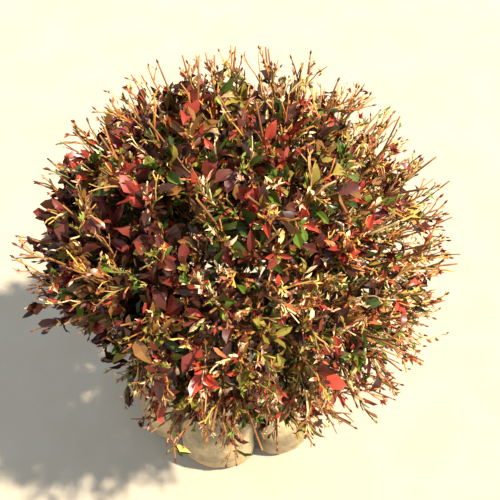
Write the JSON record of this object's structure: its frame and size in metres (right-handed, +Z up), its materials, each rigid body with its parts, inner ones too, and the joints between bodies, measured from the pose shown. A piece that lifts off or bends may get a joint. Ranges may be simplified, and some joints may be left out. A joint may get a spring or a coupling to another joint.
{
  "type": "potted ball-clipped standard shrub",
  "caption": "Evergreen garden shrub clipped to a ball on a short stem, growing in a lobed cast-stone pot of soil.",
  "frame": {"origin": "middle of the pot's flat underside, on the ground", "axes": "+Z up, -Y towards the front"},
  "size_m": [0.5517, 0.5302, 0.7783],
  "materials": {
    "pot": "rough weathered cast stone, pale grey-beige with ochre and moss stains",
    "soil": "dark crumbly potting soil",
    "bark": "thin grey-brown bark with fine lengthways cracks",
    "foliage": "leathery leaves in winter maroon, crimson, orange and dark green on tan twigs"
  },
  "bodies": {
    "root": {"pot": "pot", "soil": "soil", "stem": "bark", "bough_01": "bark", "bough_02": "bark", "bough_03": "bark", "bough_04": "bark", "bough_05": "bark", "bough_06": "bark", "bough_07": "bark", "bough_08": "bark", "bough_09": "bark", "bough_10": "bark", "bough_11": "bark", "bough_12": "bark", "mass_01": "foliage", "mass_02": "foliage", "mass_03": "foliage", "mass_04": "foliage", "mass_05": "foliage", "mass_06": "foliage", "mass_07": "foliage", "mass_08": "foliage", "mass_09": "foliage", "mass_10": "foliage", "mass_11": "foliage", "mass_12": "foliage"}
  },
  "joints": []
}
